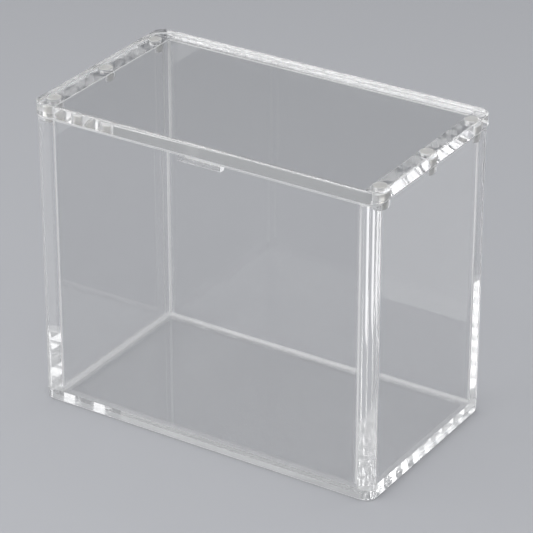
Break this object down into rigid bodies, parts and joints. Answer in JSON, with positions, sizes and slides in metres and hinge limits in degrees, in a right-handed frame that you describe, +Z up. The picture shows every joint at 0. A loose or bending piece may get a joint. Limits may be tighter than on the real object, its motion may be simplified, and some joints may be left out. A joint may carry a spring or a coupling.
{
  "type": "card deck box",
  "caption": "Clear rectangular display box of cemented acrylic sheet, with a finger notch in the front wall and a flat lift-off lid held by disc magnets.",
  "frame": {"origin": "centre of the underside, on the table", "axes": "+X along the length, +Y from the notched front wall to the back wall, +Z up"},
  "size_m": [0.162, 0.092, 0.137],
  "materials": {
    "acrylic": "clear cast acrylic, polished",
    "nickel_plate": "nickel plate, satin"
  },
  "bodies": {
    "case": {"base_panel": "acrylic", "front_panel": "acrylic", "back_panel": "acrylic", "left_panel": "acrylic", "right_panel": "acrylic", "wall_magnet_left_front": "nickel_plate", "wall_magnet_left_middle": "nickel_plate", "wall_magnet_left_back": "nickel_plate", "wall_magnet_right_front": "nickel_plate", "wall_magnet_right_middle": "nickel_plate", "wall_magnet_right_back": "nickel_plate"},
    "lid": {"lid_panel": "acrylic", "lid_magnet_left_front": "nickel_plate", "lid_magnet_left_middle": "nickel_plate", "lid_magnet_left_back": "nickel_plate", "lid_magnet_right_front": "nickel_plate", "lid_magnet_right_middle": "nickel_plate", "lid_magnet_right_back": "nickel_plate"}
  },
  "joints": [
    {"name": "lid_lift", "type": "slide", "parent": "case", "child": "lid", "axis": [0, 0, 1], "range_m": [0, 0.16]}
  ]
}
